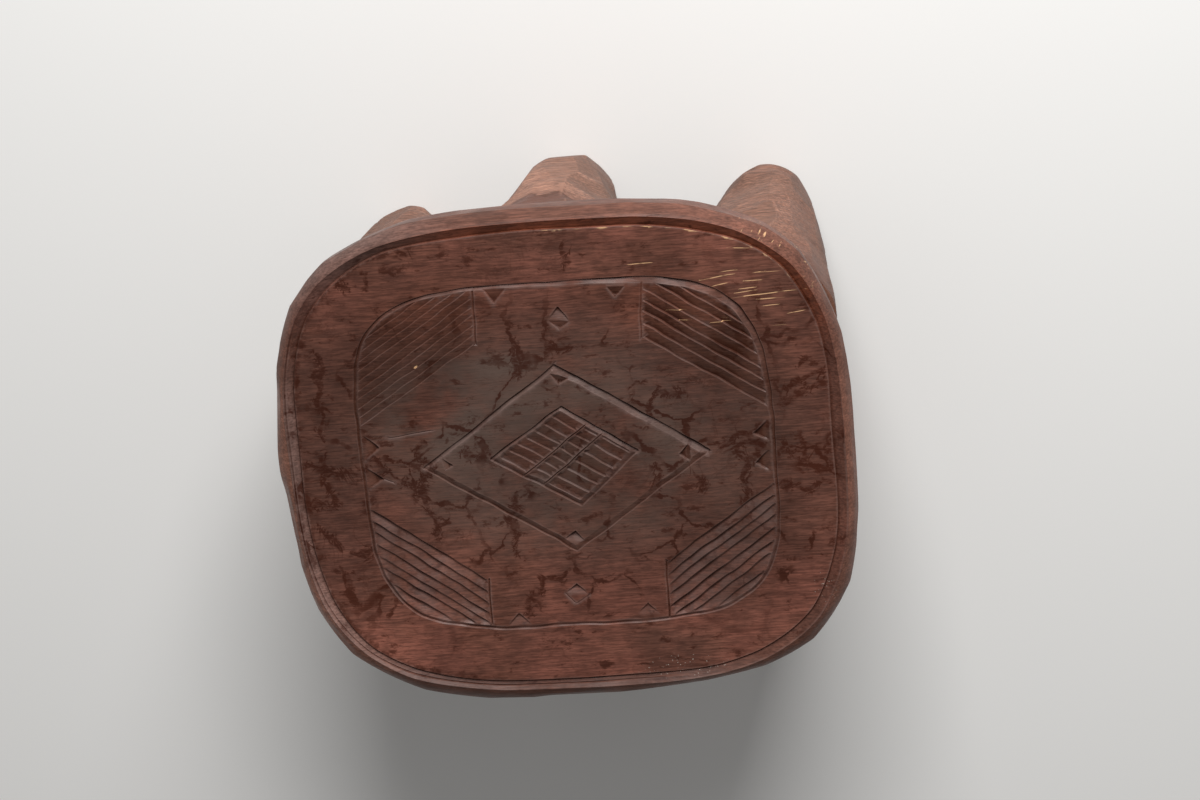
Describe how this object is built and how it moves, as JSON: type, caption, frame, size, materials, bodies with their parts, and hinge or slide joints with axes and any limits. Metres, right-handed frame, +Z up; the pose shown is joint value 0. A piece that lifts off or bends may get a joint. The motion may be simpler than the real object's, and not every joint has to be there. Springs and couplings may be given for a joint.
{
  "type": "carved stool",
  "caption": "Low wooden stool: a rounded square seat with a raised lip and incised geometric ornament, on thick tapering hewn legs set in a ring under its edge.",
  "frame": {"origin": "on the floor under the middle of the seat", "axes": "+X along the longer side of the seat, +Y towards the side whose legs show in the picture, +Z up out of the seat"},
  "size_m": [0.4, 0.365, 0.25],
  "materials": {
    "seat_wood": "dark red-brown stained hardwood, rubbed and worn, dull sheen",
    "leg_wood": "hewn hardwood, lighter brown, matt"
  },
  "bodies": {
    "root": {"seat": "seat_wood", "leg_back": "leg_wood", "leg_back_left": "leg_wood", "leg_back_right": "leg_wood", "leg_front": "leg_wood", "leg_front_left": "leg_wood", "leg_front_right": "leg_wood"}
  },
  "joints": []
}
